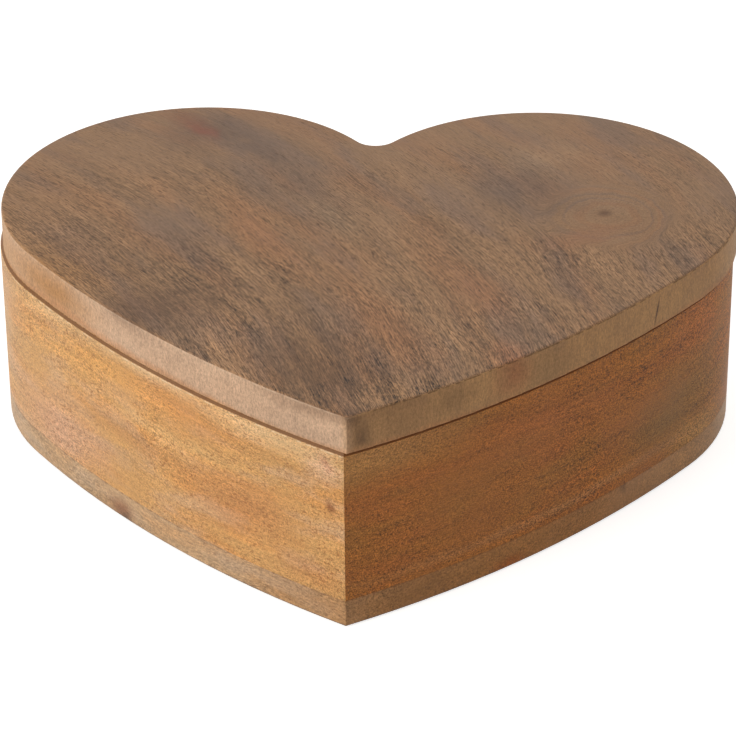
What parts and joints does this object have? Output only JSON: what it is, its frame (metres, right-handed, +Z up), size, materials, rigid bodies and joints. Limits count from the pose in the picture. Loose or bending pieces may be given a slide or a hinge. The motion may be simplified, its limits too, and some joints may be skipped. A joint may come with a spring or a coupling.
{
  "type": "wind-up music box",
  "caption": "Heart-shaped hinged wooden music box with a keepsake tray, and a wind-up pinned-cylinder movement with a recessed key under its base.",
  "frame": {"origin": "centre of the bounding box, on the underside of the base, which rests at Z = 0", "axes": "+Z up; -Y towards the point of the heart; +X to the right lobe seen from the point; the hinges are at +Y"},
  "size_m": [0.2008, 0.1692, 0.063],
  "materials": {
    "mango_wood": "solid mango wood, sanded and waxed, satin",
    "plywood": "birch plywood, unfinished",
    "clear_acrylic": "clear cast acrylic, polished",
    "felt": "wool felt, glued down",
    "hinge_brass": "stamped brass, satin",
    "movement_brass": "turned and stamped brass, bright",
    "plated_steel": "zinc plated steel, dull",
    "screw_steel": "turned steel, bright",
    "comb_steel": "hardened steel, ground",
    "fan_aluminium": "stamped sheet aluminium"
  },
  "bodies": {
    "case": {"base_panel": "mango_wood", "left_wall": "mango_wood", "right_wall": "mango_wood", "mount_board": "plywood", "divider_side": "mango_wood", "divider_front": "mango_wood", "cover_ledge": "plywood", "movement_cover": "clear_acrylic", "tray_felt": "felt", "left_body_leaf": "hinge_brass", "right_body_leaf": "hinge_brass", "body_leaf_screws": "hinge_brass", "left_hinge_pin": "hinge_brass", "right_hinge_pin": "hinge_brass", "bedplate": "plated_steel", "bedplate_screws": "screw_steel", "barrel_bridge": "movement_brass", "bridge_screws": "screw_steel", "near_bracket": "movement_brass", "far_bracket": "movement_brass", "outer_bracket": "movement_brass", "bracket_screws": "screw_steel", "comb_block": "plated_steel", "comb": "comb_steel", "comb_screws": "screw_steel", "governor_frame": "movement_brass", "governor_screws": "screw_steel", "stop_spring": "screw_steel"},
    "lid": {"lid_panel": "mango_wood", "left_lid_leaf": "hinge_brass", "right_lid_leaf": "hinge_brass", "lid_leaf_screws": "hinge_brass"},
    "winder": {"winding_arbor": "screw_steel", "winding_key": "movement_brass"},
    "barrel": {"spring_barrel": "movement_brass", "barrel_cover": "movement_brass", "mainspring": "comb_steel"},
    "cylinder": {"tune_cylinder": "movement_brass", "cylinder_end_caps": "movement_brass", "cylinder_arbor": "screw_steel", "drive_gear": "movement_brass", "great_wheel": "movement_brass"},
    "transfer": {"transfer_arbor": "screw_steel", "transfer_pinion": "movement_brass", "worm_wheel": "movement_brass"},
    "governor": {"worm_shaft": "screw_steel", "air_fan": "fan_aluminium"},
    "stop": {"stop_rod": "screw_steel", "stop_arm": "movement_brass"}
  },
  "joints": [
    {"name": "lid_hinge", "type": "hinge", "parent": "case", "child": "lid", "pos_m": [0, 0.083, 0.052], "axis": [-1, 0, 0], "range_deg": [0, 95]},
    {"name": "stop_slide", "type": "slide", "parent": "case", "child": "stop", "axis": [0, 0, 1], "range_m": [0, 0.002], "deforming": ["stop_spring"]},
    {"name": "key_wind", "type": "hinge", "parent": "case", "child": "winder", "pos_m": [-0.058, 0.0274, 0.01], "axis": [0, 0, 1], "range_deg": [0, 1440]},
    {"name": "barrel_spin", "type": "hinge", "parent": "case", "child": "barrel", "pos_m": [-0.058, 0.0274, 0.02], "axis": [0, 0, 1], "continuous": true},
    {"name": "cylinder_spin", "type": "hinge", "parent": "case", "child": "cylinder", "pos_m": [-0.033, 0.0274, 0.025], "axis": [1, 0, 0], "continuous": true},
    {"name": "transfer_spin", "type": "hinge", "parent": "case", "child": "transfer", "pos_m": [-0.02, 0.03743, 0.025], "axis": [1, 0, 0], "continuous": true},
    {"name": "governor_spin", "type": "hinge", "parent": "case", "child": "governor", "pos_m": [-0.019, 0.04376, 0.025], "axis": [0, 0, 1], "continuous": true}
  ],
  "couplings": [
    {"joint": "stop_slide", "follows": "lid_hinge", "m_per_rad": 0.0012},
    {"joint": "cylinder_spin", "follows": "barrel_spin", "ratio": 2},
    {"joint": "transfer_spin", "follows": "barrel_spin", "ratio": -8},
    {"joint": "governor_spin", "follows": "barrel_spin", "ratio": 240}
  ]
}
